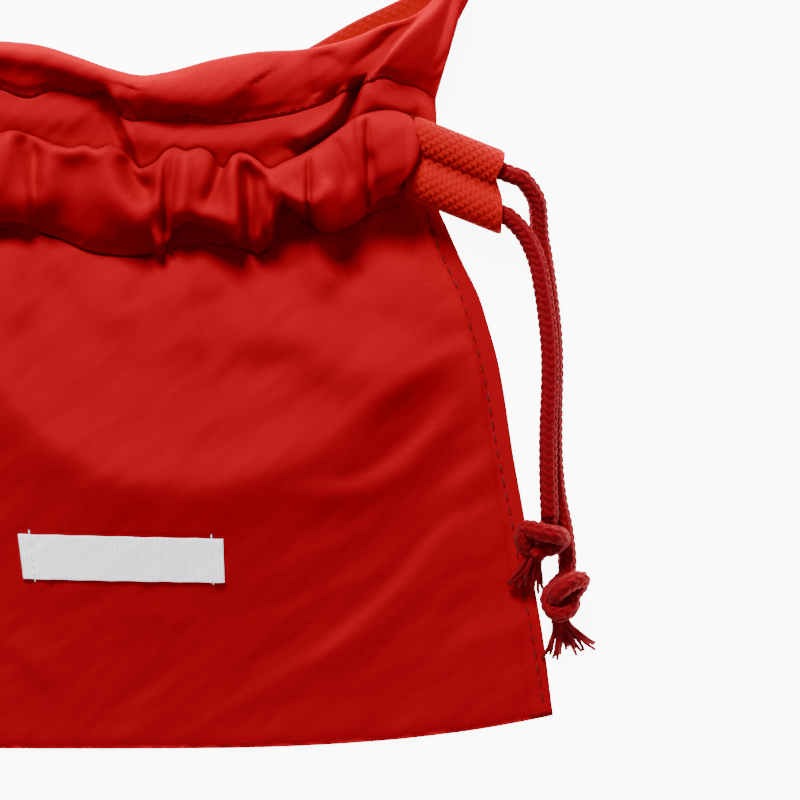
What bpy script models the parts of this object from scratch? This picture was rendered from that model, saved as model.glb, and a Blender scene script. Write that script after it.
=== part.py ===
"""A kinchaku drawstring pouch, lying empty on its back.

The pouch is one piece of thin nylon folded at the bottom and sewn up both sides. Its top edges are
turned into two casings. One round braided cord runs through both of them, and its two knotted ends
leave through a short webbing slider. A narrow webbing strap lies behind the pouch.

Frame: +X to the wearer's right, +Y towards the mouth, +Z up from the surface that the pouch lies on.
The origin is on the centre line, on the underside of the back panel.
"""

import math

import bmesh
import bpy
import numpy as np

MM = 0.001

# cloth body
BOTTOM_Y = -90.0          # the bottom fold on the centre line
BOTTOM_RISE = 9.0         # how far the fold's corners pull up
SKIN = 1.3                # wall of the cloth solid, thicker than the real cloth
SEAM_SHARE = 0.92         # the hollow ends here, as a share of the half width
SEAM_HEIGHT = 1.7
BELLY_HEIGHT = 13.0       # height of the hollow under the front panel
CASING_HALF = 10.5        # half height of the front casing, across the cord
BACK_CASING_HALF = 7.5
BACK_LIFT_START = 64.0    # above this the back panel leaves the surface
BACK_LIFT = 3.4
BACK_EDGE_LIFT = 6.0
# half width of the pouch at heights up the panel: (y, half width)
SIDE_EDGE = [(-90, 121), (-60, 118.3), (-28, 113.3), (0, 108.4), (22, 103.9), (40, 96.8), (52, 90.7),
             (62, 88.2), (78, 88.6), (88, 90), (98, 93.5), (112, 97)]
# top edge of the back panel: (share of the half width, y)
TOP_EDGE = [(-1.0, 113), (-0.94, 121), (-0.88, 106), (-0.78, 102), (-0.6, 98.5), (-0.3, 98.5), (-0.07, 94.8),
            (0.12, 89.8), (0.2, 90.7), (0.34, 94), (0.6, 96.7), (0.78, 102), (0.88, 106), (0.94, 121),
            (1.0, 113)]

# drawcord
CORD_D = 5.0
CORD_GAP = 0.6            # room round the cord in the casings and the slider
CORD_STEP = 11.0          # spacing of the held cord's points
FREE_STEP = 6.0           # spacing along the free ends
FACE_GAP = 0.3

# slider: a loop of webbing stitched down its middle into two channels
SLIDER_CENTRE = (95.0, 63.3)
SLIDER_TURN = math.radians(-21.7)
SLIDER_LENGTH = 26.8
SLIDER_HEIGHT = 9.2
CHANNEL_OFFSET = 5.35
CHANNEL_HALF = 5.3
SLIDER_Z = 8.6
SLIDER_ROOM = 0.8

# strap
STRAP_WIDTH = 10.0
STRAP_THICK = 2.5
STRAP_ROUTE = [(93.5, 112.5, 3.4), (82.7, 106.5, 2.2), (70, 100.5, 1.25), (58, 93.5, 1.25), (42, 84.5, 1.25),
               (22, 79.2, 1.25), (0, 78, 1.25)]

# label
LABEL_CORNERS = [(-22.0, -32.4), (33.2, -33.6), (33.5, -45.2), (-21.2, -44.3)]
LABEL_THICK = 0.5

DIRECTION = (math.cos(SLIDER_TURN), math.sin(SLIDER_TURN))
ACROSS = (-math.sin(SLIDER_TURN), math.cos(SLIDER_TURN))


def slider_point(along, across, z=SLIDER_Z):
    """A point in the slider's own directions, from its centre."""
    x = SLIDER_CENTRE[0] + along * DIRECTION[0] + across * ACROSS[0]
    y = SLIDER_CENTRE[1] + along * DIRECTION[1] + across * ACROSS[1]
    return (x, y, z)


HALF = SLIDER_LENGTH / 2
SLIDER_LEAD = 2.5         # the cord is straight this far before the slider
FRONT_IN = slider_point(-HALF - SLIDER_LEAD, -CHANNEL_OFFSET)
FRONT_OUT = slider_point(HALF, -CHANNEL_OFFSET)
BACK_IN = slider_point(-HALF - SLIDER_LEAD, CHANNEL_OFFSET)
BACK_OUT = slider_point(HALF, CHANNEL_OFFSET)

# the drawcord's route, from the front channel's exit, through the front casing, across the left slit,
# through the back casing and out of the back channel
FRONT_CASING = [(70, 66, 12), (58, 62.5, 13.5), (45, 58, 14), (30, 55.5, 14), (12, 54.8, 14), (-6, 57, 14),
                (-26, 60, 14), (-45, 60, 13.5), (-62, 62, 12.5), (-76, 65.5, 11.5)]
LEFT_CROSSING = [(-87, 70.5, 10.5), (-91.5, 79, 10.5), (-86, 87.5, 11.5)]
BACK_CASING = [(-75, 91, 12), (-58, 91, 12), (-35, 91, 12), (-15, 88, 12), (5, 84, 12), (22, 84.5, 12),
               (40, 88.5, 12), (56, 91.3, 12), (66, 90.5, 11.6)]
CASING_ROUTE = ([FRONT_IN] + FRONT_CASING + LEFT_CROSSING + BACK_CASING
                + [(73.2, 85.8, 10.6), (77.4, 79.4, 9.4), BACK_IN])
FRONT_END_ROUTE = [slider_point(HALF + FACE_GAP, -CHANNEL_OFFSET), slider_point(HALF + 3.5, -CHANNEL_OFFSET),
                   (112.6, 48.2, 8.3), (115.2, 43.6, 8), (116.9, 38.5, 7.9), (118.1, 32.0, 7.9),
                   (119.2, 24, 7.9), (119.9, 15.6, 7.9), (119.9, 6, 7.9), (119.5, -3, 7.9),
                   (119.4, -13, 7.8), (119.6, -22, 7.4), (119.9, -27.6, 7.0)]
BACK_END_ROUTE = [slider_point(HALF + FACE_GAP, CHANNEL_OFFSET), slider_point(HALF + 3.5, CHANNEL_OFFSET),
                  (116.2, 57, 6.6), (117, 52, 4.6), (117.4, 47, 3), (118.6, 40, 2.6), (119.7, 32, 2.6),
                  (120.8, 22, 2.6), (121.2, 12, 2.6), (121, 0, 2.6), (121.1, -12, 2.6), (122, -22, 2.6),
                  (123.8, -31, 2.6), (124.6, -37.4, 2.7), (124.7, -41.4, 3.0)]
# each knot: (centre line, radius there) from where the cord goes in to the tips of its frayed strands
FRONT_KNOT = [((119.9, -28.5, 7.0), 2.6), ((119.4, -30.2, 7.4), 5.4), ((118.2, -33, 7.7), 6.6),
              ((116.8, -36.5, 7.6), 5.8), ((115.2, -39.5, 6.2), 3.4), ((113.9, -42.6, 5.8), 3.8),
              ((113.4, -45.8, 5.8), 4.0)]
BACK_KNOT = [((124.7, -42.4, 3.4), 2.4), ((125.2, -44, 5.2), 4.8), ((125.2, -46.6, 6.0), 5.4),
             ((123.4, -50.5, 6.2), 6.4), ((122.6, -54.5, 5.4), 4.4), ((123.4, -58, 5), 5.4),
             ((124, -63, 4.6), 5.6)]
KNOT_FLAT = 0.78          # knots are lower than they are wide


def clear_scene():
    for thing in list(bpy.data.objects):
        bpy.data.objects.remove(thing)


def material(name, colour, roughness):
    finish = bpy.data.materials.new(name)
    finish.use_nodes = True
    shader = finish.node_tree.nodes["Principled BSDF"]
    shader.inputs["Base Color"].default_value = (*colour, 1)
    shader.inputs["Roughness"].default_value = roughness
    shader.inputs["Metallic"].default_value = 0
    return finish


def value_at(table, where):
    """Straight-line reading of a short table of (place, value)."""
    return float(np.interp(where, [a for a, _ in table], [b for _, b in table]))


def smooth_route(points, count):
    """Points evenly spaced along a smooth curve through the given ones."""
    p = np.array(points, float)
    p = np.vstack([2 * p[0] - p[1], p, 2 * p[-1] - p[-2]])
    fine = []
    for i in range(1, len(p) - 2):
        for t in np.linspace(0, 1, 24, endpoint=False):
            a, b, c, d = p[i - 1], p[i], p[i + 1], p[i + 2]
            fine.append(0.5 * (2 * b + (c - a) * t + (2 * a - 5 * b + 4 * c - d) * t ** 2
                               + (3 * b - a - 3 * c + d) * t ** 3))
    fine = np.array(fine + [p[-2]])
    run = np.concatenate([[0], np.cumsum(np.linalg.norm(np.diff(fine, axis=0), axis=1))])
    even = np.linspace(0, run[-1], count)
    return np.column_stack([np.interp(even, run, fine[:, k]) for k in range(3)])


def route_length(points):
    fine = smooth_route(points, 400)
    return float(np.linalg.norm(np.diff(fine, axis=0), axis=1).sum())


def mesh_object(name, mesh, finish, smooth=True):
    """An object from a bmesh in millimetres."""
    bmesh.ops.recalc_face_normals(mesh, faces=mesh.faces)
    bmesh.ops.scale(mesh, vec=(MM, MM, MM), verts=mesh.verts)
    data = bpy.data.meshes.new(name)
    mesh.to_mesh(data)
    mesh.free()
    if smooth:
        data.shade_smooth()
        data.set_sharp_from_angle(angle=math.radians(40))
    thing = bpy.data.objects.new(name, data)
    bpy.context.scene.collection.objects.link(thing)
    data.materials.append(finish)
    return thing


def make_cutter(thing):
    thing.hide_render = True
    thing.display_type = "WIRE"
    return thing


def cut(thing, cutter):
    step = thing.modifiers.new("cut_" + cutter.name, "BOOLEAN")
    step.operation = "DIFFERENCE"
    step.solver = "EXACT"
    step.object = make_cutter(cutter)


def slab(name, top, bottom, finish):
    """A closed solid between two grids of points of the same size."""
    mesh = bmesh.new()
    upper = [[mesh.verts.new(p) for p in row] for row in top]
    lower = [[mesh.verts.new(p) for p in row] for row in bottom]
    rows, columns = len(top), len(top[0])
    for r in range(rows - 1):
        for c in range(columns - 1):
            mesh.faces.new([upper[r][c], upper[r][c + 1], upper[r + 1][c + 1], upper[r + 1][c]])
            mesh.faces.new([lower[r][c], lower[r + 1][c], lower[r + 1][c + 1], lower[r][c + 1]])
    edge = [(0, c) for c in range(columns)] + [(r, columns - 1) for r in range(1, rows)]
    edge += [(rows - 1, c) for c in range(columns - 2, -1, -1)] + [(r, 0) for r in range(rows - 2, 0, -1)]
    for (r1, c1), (r2, c2) in zip(edge, edge[1:] + edge[:1]):
        mesh.faces.new([upper[r1][c1], lower[r1][c1], lower[r2][c2], upper[r2][c2]])
    bmesh.ops.triangulate(mesh, faces=mesh.faces)
    return mesh_object(name, mesh, finish)


def ring_loft(name, rings, finish):
    """A closed tube through rings of points, with a cap on each end."""
    mesh = bmesh.new()
    made = [[mesh.verts.new(p) for p in ring] for ring in rings]
    size = len(made[0])
    for a, b in zip(made, made[1:]):
        for k in range(size):
            mesh.faces.new([a[k], a[(k + 1) % size], b[(k + 1) % size], b[k]])
    mesh.faces.new(made[0])
    mesh.faces.new(list(reversed(made[-1])))
    return mesh_object(name, mesh, finish)


def tube(name, points, diameter, finish, sides=3):
    """A cord: a curve with a round section and filled ends."""
    curve = bpy.data.curves.new(name, "CURVE")
    curve.dimensions = "3D"
    curve.bevel_depth = diameter / 2 * MM
    curve.bevel_resolution = sides
    curve.use_fill_caps = True
    line = curve.splines.new("POLY")
    line.points.add(len(points) - 1)
    for spot, p in zip(line.points, points):
        spot.co = (p[0] * MM, p[1] * MM, p[2] * MM, 1)
    curve.materials.append(finish)
    thing = bpy.data.objects.new(name, curve)
    bpy.context.scene.collection.objects.link(thing)
    return thing


def bore(name, points, diameter, finish, sides=10):
    """A round cutter along a line of points."""
    line = np.array(points, float)
    rings = []
    for p, t in zip(line, np.gradient(line, axis=0)):
        t = t / np.linalg.norm(t)
        side = np.cross(t, (0, 0, 1))
        side = side / np.linalg.norm(side)
        up = np.cross(side, t)
        turns = [2 * math.pi * k / sides for k in range(sides)]
        rings.append([p + (side * math.cos(a) + up * math.sin(a)) * diameter / 2 for a in turns])
    return ring_loft(name, rings, finish)


def front_line(x):
    return value_at(sorted((p[0], p[1]) for p in [(84, 63.5, 0)] + FRONT_CASING + [(-86, 66, 0)]), x)


def back_line(x):
    return value_at(sorted((p[0], p[1]) for p in BACK_CASING), x)


def panel_point(share, y_row):
    """Where a share of the half width and a row of the pouch lie, seen from above."""
    rise = max(0.0, (0 - y_row) / 90)
    y = y_row + BOTTOM_RISE * abs(share) ** 3 * rise ** 2
    x = share * value_at(SIDE_EDGE, y_row)
    if y_row > 78:
        top = value_at(TOP_EDGE, share)
        y = 78 + (y_row - 78) / 22 * (top - 78)
        x = share * value_at(SIDE_EDGE, y)
    return x, y


def underside(y):
    lift = min(max((y - BACK_LIFT_START) / 8, 0), 1)
    edge = min(max((y - 76) / 20, 0), 1)
    return BACK_LIFT * lift * lift * (3 - 2 * lift) + (BACK_EDGE_LIFT - BACK_LIFT) * edge


def hollow_height(share, y):
    """Height of the space between the panels."""
    side = max(0.0, 1 - (share / SEAM_SHARE) ** 2) ** 0.6
    up = min(max((y - BOTTOM_Y - 3) / 45, 0), 1)
    return 0.3 + (BELLY_HEIGHT - 2.9) * side * math.sin(up * math.pi / 2)


def ridge(y, line, half, peak, base):
    away = min(abs(y - line) / half, 1)
    return base + (peak - base) * (1 - away ** 2.6)


def top_height(share, x, y):
    """Upper surface of the cloth solid."""
    floor = underside(y) + SKIN
    line = front_line(x)
    casing_end = min(max((89 - abs(x)) / 6, 0), 1)
    heights = [floor]
    if y < line:
        heights.append(floor + hollow_height(share, y) + SKIN)
    if abs(y - line) < CASING_HALF:
        heights.append(ridge(y, line, CASING_HALF, floor + 8 + 8.6 * casing_end, floor))
    away = back_line(x)
    if abs(y - away) < BACK_CASING_HALF and abs(x) < 80:
        heights.append(ridge(y, away, BACK_CASING_HALF, 16.6, floor))
    if abs(share) > SEAM_SHARE and y < 50:
        outer = (abs(share) - SEAM_SHARE) / (1 - SEAM_SHARE)
        return SEAM_HEIGHT * outer + (2 * SKIN + 0.3) * (1 - outer)
    return max(heights)


def body_rows():
    return [-90, -87, -80, -70, -58, -45, -32, -18, -4, 10, 22, 32, 39, 43, 45.5, 48, 51, 54, 57, 60, 63, 66,
            69, 72, 75, 78, 80.5, 83, 85.5, 88, 91, 94, 97, 100]


def body_shares():
    inner = [0.13 * k for k in range(7)]
    right = inner + [0.85, 0.92, 0.97, 1.0]
    return [-s for s in reversed(right[1:])] + right


def hollow(name, finish):
    """The space inside the pouch, out through its mouth."""
    top, bottom = [], []
    shares = [-SEAM_SHARE + 2 * SEAM_SHARE * k / 18 for k in range(19)]
    for y_row in [-87, -80, -70, -55, -38, -20, 0, 16, 30, 38, 44, 50, 57, 64, 71, 77]:
        upper, lower = [], []
        for share in shares:
            x, y = panel_point(share, y_row)
            y = min(y, front_line(x) + CASING_HALF + 1.5)
            floor = underside(y) + SKIN
            under_casing = 0.3 + 7.9 * (1 - (share / SEAM_SHARE) ** 4)
            room = hollow_height(share, y) if y < front_line(x) - 4 else under_casing
            upper.append((x, y, floor + room))
            lower.append((x, y, floor))
        top.append(upper)
        bottom.append(lower)
    return slab(name, top, bottom, finish)


def slider_room(name, finish):
    """The space that the slider needs in front of the casing's end."""
    left, right = -HALF - SLIDER_ROOM, HALF + 20
    side = CHANNEL_OFFSET + CHANNEL_HALF + SLIDER_ROOM
    low, high = SLIDER_Z - SLIDER_HEIGHT / 2 - SLIDER_ROOM, 40
    rings = []
    for along in (left, right):
        rings.append([slider_point(along, across, z)
                      for across, z in ((-side, low), (side, low), (side, high), (-side, high))])
    return ring_loft(name, rings, finish)


def build_pouch_body(finish, drawcord_points):
    top, bottom = [], []
    for y_row in body_rows():
        upper, lower = [], []
        for share in body_shares():
            x, y = panel_point(share, y_row)
            upper.append((x, y, top_height(share, x, y)))
            lower.append((x, y, underside(y)))
        top.append(upper)
        bottom.append(lower)
    body = slab("pouch_body", top, bottom, finish)
    cut(body, hollow("hollow", finish))
    cut(body, bore("cord_room", drawcord_points, CORD_D + 2 * CORD_GAP, finish))
    cut(body, slider_room("slider_room", finish))
    return body


def surface_under(x, y):
    return top_height(x / value_at(SIDE_EDGE, y), x, y)


def build_label(finish):
    a, b, c, d = (np.array(p) for p in LABEL_CORNERS)
    top, bottom = [], []
    for v in np.linspace(0, 1, 5):
        upper, lower = [], []
        for u in np.linspace(0, 1, 13):
            x, y = (a * (1 - u) + b * u) * (1 - v) + (d * (1 - u) + c * u) * v
            z = surface_under(x, y) + FACE_GAP + 0.12
            lower.append((x, y, z))
            upper.append((x, y, z + LABEL_THICK))
        top.append(upper)
        bottom.append(lower)
    return slab("label", top, bottom, finish)


def build_strap(finish):
    right = STRAP_ROUTE
    route = right + [(-x, y, z) for x, y, z in reversed(right[:-1])]
    line = smooth_route(route, 34)
    way = np.gradient(line, axis=0)
    rings = []
    for p, t in zip(line, way):
        side = np.array([-t[1], t[0], 0]) / math.hypot(t[0], t[1]) * STRAP_WIDTH / 2
        up = np.array([0, 0, STRAP_THICK / 2])
        rings.append([p - side * 0.86 - up, p + side * 0.86 - up, p + side, p + side * 0.86 + up,
                      p - side * 0.86 + up, p - side])
    return ring_loft("carry_strap", rings, finish)


def build_slider(finish):
    """Two round channels side by side, pinched together where they are stitched."""
    outline = []
    for centre, first in ((CHANNEL_OFFSET, -145), (-CHANNEL_OFFSET, 35)):
        for k in range(13):
            turn = math.radians(first + 290 * k / 12)
            outline.append((centre + CHANNEL_HALF * math.cos(turn), SLIDER_HEIGHT / 2 * math.sin(turn)))
    rings = [[slider_point(along, across, SLIDER_Z + up) for across, up in outline]
             for along in (-HALF, HALF)]
    slider = ring_loft("cord_slider", rings, finish)
    for side, offset in (("front", -CHANNEL_OFFSET), ("back", CHANNEL_OFFSET)):
        ends = [slider_point(along, offset) for along in (-HALF - 2, HALF + 2)]
        cut(slider, bore("channel_" + side, ends, CORD_D + 2 * CORD_GAP, finish, 16))
    return slider


def build_knot(name, sections, finish):
    line = np.array([p for p, _ in sections])
    way = np.gradient(line, axis=0)
    rings = []
    for (centre, radius), t in zip(sections, way):
        side = np.array([-t[1], t[0], 0]) / math.hypot(t[0], t[1])
        low = min(radius * KNOT_FLAT, centre[2] - 0.1)
        ring = []
        for k in range(12):
            turn = 2 * math.pi * k / 12
            height = math.sin(turn) * (radius * KNOT_FLAT if math.sin(turn) > 0 else low)
            ring.append(np.array(centre) + side * radius * math.cos(turn) + np.array([0, 0, height]))
        rings.append(ring)
    return ring_loft(name, rings, finish)


def build_free_end(name, route, finish):
    """A free end, straight for its first few millimetres out of the slider."""
    bend = route[1:]
    points = smooth_route(bend, int(route_length(bend) / FREE_STEP) + 2)
    return tube(name, np.vstack([route[0], points]), CORD_D, finish)


def main():
    clear_scene()
    cloth = material("nylon_cloth", (0.62, 0.012, 0.014), 0.55)
    webbing = material("cotton_webbing", (0.68, 0.02, 0.012), 0.85)
    cord = material("braided_cord", (0.38, 0.01, 0.015), 0.8)
    tape = material("twill_tape", (0.85, 0.84, 0.9), 0.8)
    in_casings = smooth_route(CASING_ROUTE, int(route_length(CASING_ROUTE) / CORD_STEP) + 2)
    drawcord_points = np.vstack([FRONT_OUT, in_casings, BACK_OUT])
    build_pouch_body(cloth, drawcord_points)
    build_label(tape)
    tube("drawcord", drawcord_points, CORD_D, cord)
    build_slider(webbing)
    build_free_end("cord_end_front", FRONT_END_ROUTE, cord)
    build_free_end("cord_end_back", BACK_END_ROUTE, cord)
    knot = build_knot("knot_front", FRONT_KNOT, cord)
    room = smooth_route(BACK_END_ROUTE, int(route_length(BACK_END_ROUTE) / FREE_STEP) + 2)
    cut(knot, bore("cord_under_knot", room, CORD_D + 2 * CORD_GAP, cord))
    build_knot("knot_back", BACK_KNOT, cord)
    build_strap(webbing)


main()
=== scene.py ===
"""Finishes a kinchaku drawstring pouch in Blender: cloth, casings, cord, knots, slider, strap and label.

Every length in the tables and functions below is in millimetres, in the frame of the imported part:
+X to the side with the slider, +Y towards the mouth, +Z up. Meshes are made in metres.
"""

import math

import bpy
import numpy as np
from bpy.props import FloatVectorProperty, PointerProperty
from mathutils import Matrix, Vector, noise


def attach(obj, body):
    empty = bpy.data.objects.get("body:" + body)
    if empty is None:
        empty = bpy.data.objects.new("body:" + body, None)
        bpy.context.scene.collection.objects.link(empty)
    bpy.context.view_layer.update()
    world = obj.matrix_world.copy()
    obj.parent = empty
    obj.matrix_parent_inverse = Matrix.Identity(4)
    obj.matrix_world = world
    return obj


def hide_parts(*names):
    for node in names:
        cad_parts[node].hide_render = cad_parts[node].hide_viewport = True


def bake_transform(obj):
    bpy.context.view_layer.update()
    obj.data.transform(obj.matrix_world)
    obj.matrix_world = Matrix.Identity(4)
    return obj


bl_info = {
    "name": "Kinchaku pouch finisher",
    "version": (1, 0, 0),
    "blender": (4, 5, 0),
    "location": "View3D > Sidebar > Kinchaku",
    "description": "Builds the cloth, cord and trims of a drawstring pouch around its packed frame",
    "category": "Object",
}

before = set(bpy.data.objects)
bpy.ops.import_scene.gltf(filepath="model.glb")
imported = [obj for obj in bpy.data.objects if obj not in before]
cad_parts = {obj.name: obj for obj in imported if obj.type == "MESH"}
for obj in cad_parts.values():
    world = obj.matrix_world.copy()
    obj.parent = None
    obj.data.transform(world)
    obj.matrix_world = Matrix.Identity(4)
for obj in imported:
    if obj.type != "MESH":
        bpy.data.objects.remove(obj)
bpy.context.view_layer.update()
MM = 0.001

# the cloth's outline, seen from above: (y, half width) up the right edge
SIDE_EDGE = [
    (-81, 121), (-60, 118.3), (-46, 116), (-28, 113.3), (-10, 110.1), (6, 107.7), (14, 106.2),
    (23, 103.7), (31, 101.2), (40, 96.8), (52, 90.9), (60, 88.6), (70, 89.2), (78, 89.8), (85, 89.7),
    (91, 91.5), (98, 93.9), (104, 96), (110, 98.4), (117, 99.3),
]
# (x, y) of the lines that run across the pouch
TOP_EDGE = [
    (-99.5, 116), (-95, 120), (-88.5, 109.5), (-84, 106), (-76, 103), (-67, 100.6), (-55, 99.4),
    (-42, 99.8), (-26.7, 98.8), (-15, 97.5), (-6.4, 94.8), (2.7, 91.6), (11.5, 89.7), (17.6, 90.5),
    (31, 94), (42, 95.9), (55, 96.7), (67.5, 99.6), (75.7, 103.1), (84.3, 106), (88.5, 109.5),
    (92.5, 115.9), (95, 120), (99.5, 116),
]
HEM_LINE = [
    (-89, 84), (-80, 87.6), (-72, 88.2), (-58, 85), (-45, 86.8), (-35, 87.1), (-26.7, 86.3),
    (-18.4, 83.9), (-13.6, 85.7), (-4.3, 84.4), (2.6, 83.7), (5.2, 79.8), (14, 78), (24, 78),
    (31.7, 76.9), (38, 77.5), (45, 78.5), (53, 80.1), (59.7, 82.5), (65.3, 85.5), (71.7, 87.6),
    (75.2, 88.9), (79.7, 87.6), (86, 86), (89, 84),
]
STITCH_LINE = [
    (-88, 56), (-80, 54.5), (-68, 51), (-55, 47.5), (-45, 46.5), (-36, 47.6), (-26.7, 48.8), (-20, 48.6),
    (-16, 48.2), (-9.6, 46), (-2.9, 43.1), (4, 42), (13.3, 42.3), (17, 43.2), (22, 44.2), (28, 45),
    (38, 43.6), (43.5, 43), (48.3, 46.8), (54.4, 50.8), (61, 50.4), (72, 53.2), (80, 55.3), (88, 56),
]
LOBE_LINE = [
    (-88, 61), (-81, 60), (-72, 55.5), (-62, 49), (-54, 47), (-45, 45.6), (-36, 48.5), (-26.7, 50.6),
    (-19.3, 50), (-16, 48.2), (-9.6, 46), (-2.9, 43.1), (4, 42), (13.3, 42.3), (18, 43.6), (19.8, 48),
    (21.8, 50), (28.5, 49.6), (33.4, 47.5), (38.3, 44.2), (43.3, 42.6), (45.8, 46.5), (47.3, 52.3),
    (48.6, 55.4), (50.5, 54.6), (54.8, 52.0), (57.9, 49.0), (60.8, 48.0), (63.9, 48.8), (68.8, 51.2),
    (71.6, 53.4), (73.4, 56), (78.6, 58.4), (81.7, 60.6), (84.1, 64.6), (86, 70),
]
CASING_TOP = [
    (-86, 71), (-84, 76), (-78, 79), (-70, 78), (-62, 73.5), (-55, 74), (-47, 70), (-41, 73.5), (-33, 73),
    (-26.7, 73.9), (-23, 74.8), (-18, 73.6), (-10.7, 70.7), (-6.4, 70.1), (-4, 70.8), (-0.3, 69.8),
    (2.8, 70.8), (5.5, 70), (8.9, 67), (10.5, 65), (12.6, 65.2), (15.6, 67), (17.4, 69), (20.6, 70.4),
    (22.4, 69.5), (27.3, 70.1), (30, 68.5), (32, 65.4), (33.3, 65), (35.2, 67.7), (37.1, 68.9),
    (39.6, 68.5), (42.6, 66.5), (44.6, 64.8), (49.4, 66.5), (56.8, 70.1), (62.9, 74.4), (67.8, 77.9),
    (71.5, 79.6), (75.8, 80.2), (80, 79.7), (83.4, 77.6), (85.2, 74), (86.4, 70),
]
CREST_LINE = [
    (-121, 8), (-90, 10), (-60, 12), (-34, 13), (-26, 6), (-19, -2), (-11, -9), (0, -16), (13, -19),
    (27, -19.6), (40, -17.5), (53, -12.7), (64, -6), (72, 2), (79, 9), (90, 15), (105, 18), (121, 18),
]
FOLD_BACK_Y = 57.0

# folds: (height, width to the left of the line, width to its right, line). Walking +X, the mouth is left
FRONT_FOLDS = [
    (1.6, 9, 9, [(-34, 14), (-26, 6), (-19, -2), (-11, -9), (0, -16), (13, -19), (27, -19.6), (40, -17.5),
     (53, -12.7), (64, -6), (72, 2), (79, 9)]),
    (3.3, 10, 8, [(27, 34), (30.7, 27.3), (38.7, 22.5), (49.3, 20.9), (58.7, 17.2), (66.7, 12), (76, 12),
     (84, 17), (87.5, 24)]),
    (1.2, 9, 4, [(-17, 46), (-8, 38), (0, 27.3), (6.7, 18)]),
    (2.0, 3.5, 9, [(22, 42), (22.5, 30), (25.5, 19), (30, 12)]),
    (3.0, 4.5, 6.5, [(51.5, 50), (56, 44.7), (60, 38), (65.3, 30.5)]),
    (-2.6, 3, 4, [(63.5, 46), (66, 39.5), (70, 33)]),
    (-2.2, 6, 9, [(72, 52), (80, 48), (88, 47)]),
    (1.8, 4, 5, [(24.5, 44), (28, 36), (32, 29)]),
    (1.4, 3.5, 3.5, [(38, 43), (41, 34), (46, 27)]),
    (2.2, 5, 6, [(-27, 49), (-24, 36), (-20, 20)]),
    (1.6, 5, 5, [(6, 41), (5, 30), (8, 20)]),
    (1.4, 6, 2.3, [(104, 23), (92, 15), (81.3, 9), (72, 2.6), (62.7, -5.8)]),
    (1.6, 6, 2.3, [(102, 9), (94.7, 0.5), (86.7, -8), (78.7, -15.5), (66.7, -20.8), (53.3, -21),
     (45.3, -24)]),
    (1.4, 8, 2.3, [(110, -24), (100, -27.6), (90.7, -34.5), (81.3, -46), (70.7, -56.2), (58.7, -65.4),
     (44, -73.5)]),
    (0.45, 5, 2.5, [(84, -23.3), (69.3, -31.3), (56, -37.2), (41.3, -46)]),
    (0.45, 5, 2.5, [(80, -35.3), (65.3, -46), (50.7, -54), (36, -60.7)]),
    (0.6, 4, 2.5, [(108, -11.3), (98.7, -18), (90.7, -24.7)]),
    (0.4, 4, 2.5, [(106.7, -39.3), (94.7, -47.3), (88, -56.7), (77.3, -67.3)]),
    (0.7, 6, 3, [(-27, -60), (-18.7, -66.5), (-9.3, -76)]),
    (0.4, 4, 3, [(0, -55.3), (13.3, -53.2), (26.7, -55.9)]),
    (0.5, 3, 2, [(103, 30), (98, 27), (93, 25)]),
    (0.5, 3, 2, [(104, 15), (97, 9), (91, 6)]),
    (0.4, 3, 2, [(112, -32), (104, -36), (98, -42)]),
    (2.0, 8, 8, [(-62, 42), (-58, 26), (-50, 12)]),
    (2.2, 7, 7, [(-78, 44), (-80, 26), (-76, 8)]),
    (1.4, 6, 6, [(-45, 44), (-40, 30), (-36, 22)]),
    (1.1, 8, 5, [(-104, 12), (-88, -4), (-70, -24)]),
    (0.9, 8, 4, [(-108, -22), (-92, -38), (-72, -60)]),
]
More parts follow.
